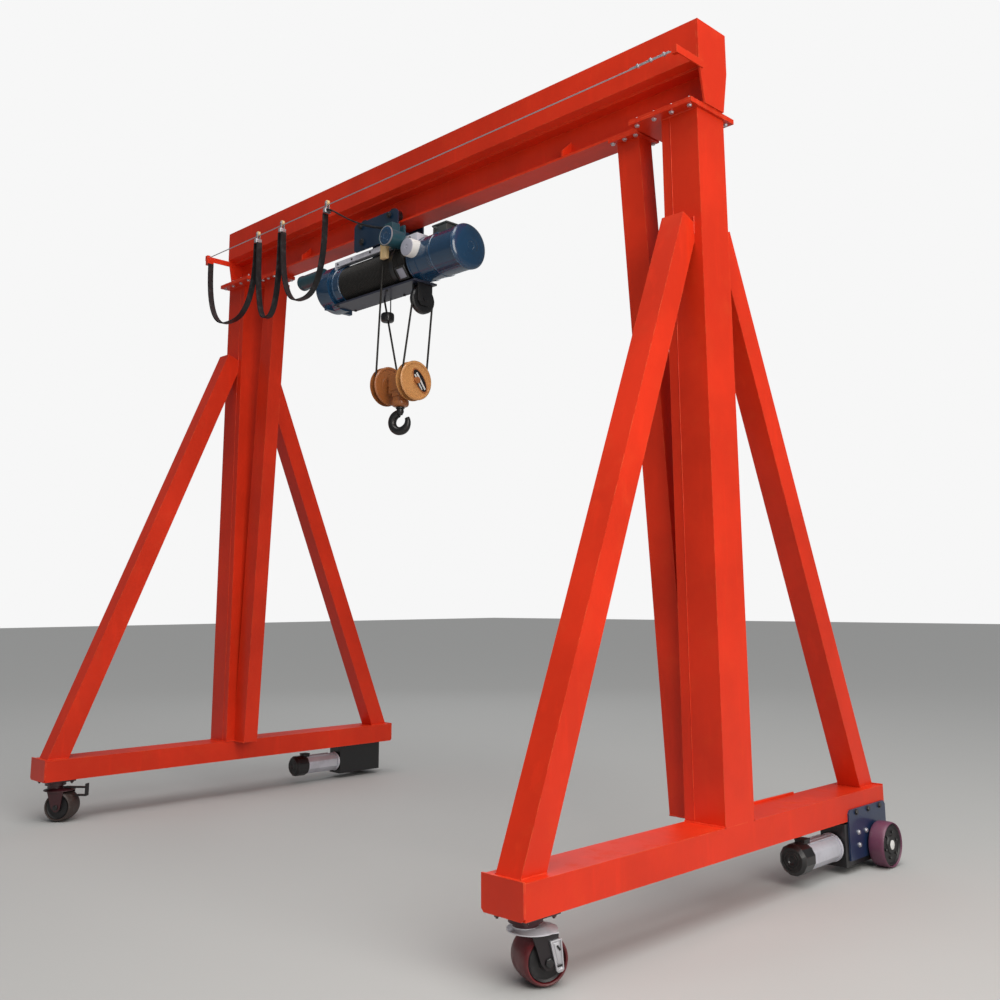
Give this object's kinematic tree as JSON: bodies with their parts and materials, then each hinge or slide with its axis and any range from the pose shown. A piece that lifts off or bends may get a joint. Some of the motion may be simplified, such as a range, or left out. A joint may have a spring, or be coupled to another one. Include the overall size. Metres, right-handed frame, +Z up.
{
  "type": "gantry crane",
  "caption": "Gantry crane on A-shaped legs with a box girder, a wire-rope hoist and hook under it, casters, drive wheels and a hanging flat cable.",
  "frame": {"origin": "on the floor under the middle of the crane", "axes": "+X along the girder towards the leg with the motor end of the hoist, +Y along the base beams towards the drive wheels, +Z up"},
  "size_m": [5.098, 3.11, 4.71],
  "materials": {
    "orange_paint": "gloss",
    "navy_paint": "satin",
    "maroon_paint": "satin",
    "blue_paint": "gloss",
    "black_paint": "satin",
    "bronze_paint": "satin",
    "bright_steel": "satin",
    "rope_steel": "greased",
    "cable_rubber": "matte",
    "wheel_tread": "satin",
    "cream_plastic": "matte"
  },
  "bodies": {
    "frame": {"girder_box": "orange_paint", "girder_rail": "orange_paint", "girder_end_plates": "orange_paint", "trolley_stops": "orange_paint", "girder_joint_plates": "orange_paint", "leg_joint_plates": "orange_paint", "column_right": "orange_paint", "column_left": "orange_paint", "strut_right": "orange_paint", "strut_left": "orange_paint", "base_beam_right": "orange_paint", "base_beam_left": "orange_paint", "beam_end_plates": "orange_paint", "brace_right_near": "orange_paint", "brace_right_far": "orange_paint", "brace_left_near": "orange_paint", "brace_left_far": "orange_paint", "caster_plates": "maroon_paint", "drive_side_plates": "navy_paint", "drive_gearboxes": "navy_paint", "drive_motors": "bright_steel", "drive_fan_covers": "black_paint", "wire_arms": "orange_paint", "guide_wire": "bright_steel", "cable_loops": "cable_rubber"},
    "hoist": {"cable_hanger_towed": "bright_steel", "hoist_lead": "cable_rubber", "trolley_side_plates": "blue_paint", "trolley_wheels": "black_paint", "trolley_ties": "blue_paint", "travel_motor": "blue_paint", "rope_drum": "black_paint", "hoist_gearbox": "blue_paint", "creep_motor": "blue_paint", "hoist_end_housing": "blue_paint", "hoist_cap": "cream_plastic", "hoist_motor": "blue_paint", "hoist_terminal_box": "black_paint", "hoist_top_bar": "bright_steel", "hoist_bottom_plate": "blue_paint", "limit_switch": "cream_plastic", "upper_sheave": "black_paint", "hoist_ropes": "rope_steel", "rope_limit_weight": "black_paint"},
    "hook_block": {"block_sheaves": "bronze_paint", "block_crosshead": "bronze_paint"},
    "hook": {"lifting_hook": "black_paint"},
    "cable_trolley_outer": {"cable_hanger_outer": "bright_steel"},
    "cable_trolley_inner": {"cable_hanger_inner": "bright_steel"},
    "caster_right": {"caster_fork_right": "black_paint", "caster_brake_right": "bright_steel"},
    "caster_left": {"caster_fork_left": "black_paint", "caster_brake_left": "black_paint"},
    "caster_right_wheel": {"caster_wheel_right": "wheel_tread"},
    "caster_left_wheel": {"caster_wheel_left": "wheel_tread"},
    "drive_right_wheel": {"drive_wheel_right": "wheel_tread"},
    "drive_left_wheel": {"drive_wheel_left": "wheel_tread"}
  },
  "joints": [
    {"name": "hoist_travel", "type": "slide", "parent": "frame", "child": "hoist", "axis": [1, 0, 0], "range_m": [-0.45, 1.25], "deforming": ["cable_loops"]},
    {"name": "hook_lift", "type": "slide", "parent": "hoist", "child": "hook_block", "axis": [0, 0, 1], "range_m": [-2.4, 0.22], "deforming": ["hoist_ropes"]},
    {"name": "hook_swivel", "type": "hinge", "parent": "hook_block", "child": "hook", "pos_m": [-0.245, 0, 2.93], "axis": [0, 0, 1], "continuous": true},
    {"name": "cable_trolley_outer", "type": "slide", "parent": "frame", "child": "cable_trolley_outer", "axis": [1, 0, 0], "range_m": [-0.1885, 0.5233]},
    {"name": "cable_trolley_inner", "type": "slide", "parent": "frame", "child": "cable_trolley_inner", "axis": [1, 0, 0], "range_m": [-0.323, 0.897]},
    {"name": "caster_swivel_right", "type": "hinge", "parent": "frame", "child": "caster_right", "pos_m": [2.315, -1.42, 0.27], "axis": [0, 0, 1], "continuous": true},
    {"name": "caster_spin_right", "type": "hinge", "parent": "caster_right", "child": "caster_right_wheel", "pos_m": [2.33748, -1.36437, 0.1025], "axis": [0.9272, -0.3746, 0], "continuous": true},
    {"name": "caster_swivel_left", "type": "hinge", "parent": "frame", "child": "caster_left", "pos_m": [-2.315, -1.42, 0.27], "axis": [0, 0, 1], "continuous": true},
    {"name": "caster_spin_left", "type": "hinge", "parent": "caster_left", "child": "caster_left_wheel", "pos_m": [-2.26837, -1.38224, 0.1025], "axis": [0.6293, -0.7771, 0], "continuous": true},
    {"name": "drive_spin_right", "type": "hinge", "parent": "frame", "child": "drive_right_wheel", "pos_m": [2.5, 1.4, 0.125], "axis": [1, 0, 0], "continuous": true},
    {"name": "drive_spin_left", "type": "hinge", "parent": "frame", "child": "drive_left_wheel", "pos_m": [-2.5, 1.4, 0.125], "axis": [1, 0, 0], "continuous": true}
  ],
  "couplings": [
    {"joint": "cable_trolley_outer", "follows": "hoist_travel", "ratio": 0.4186},
    {"joint": "cable_trolley_inner", "follows": "hoist_travel", "ratio": 0.7175}
  ]
}
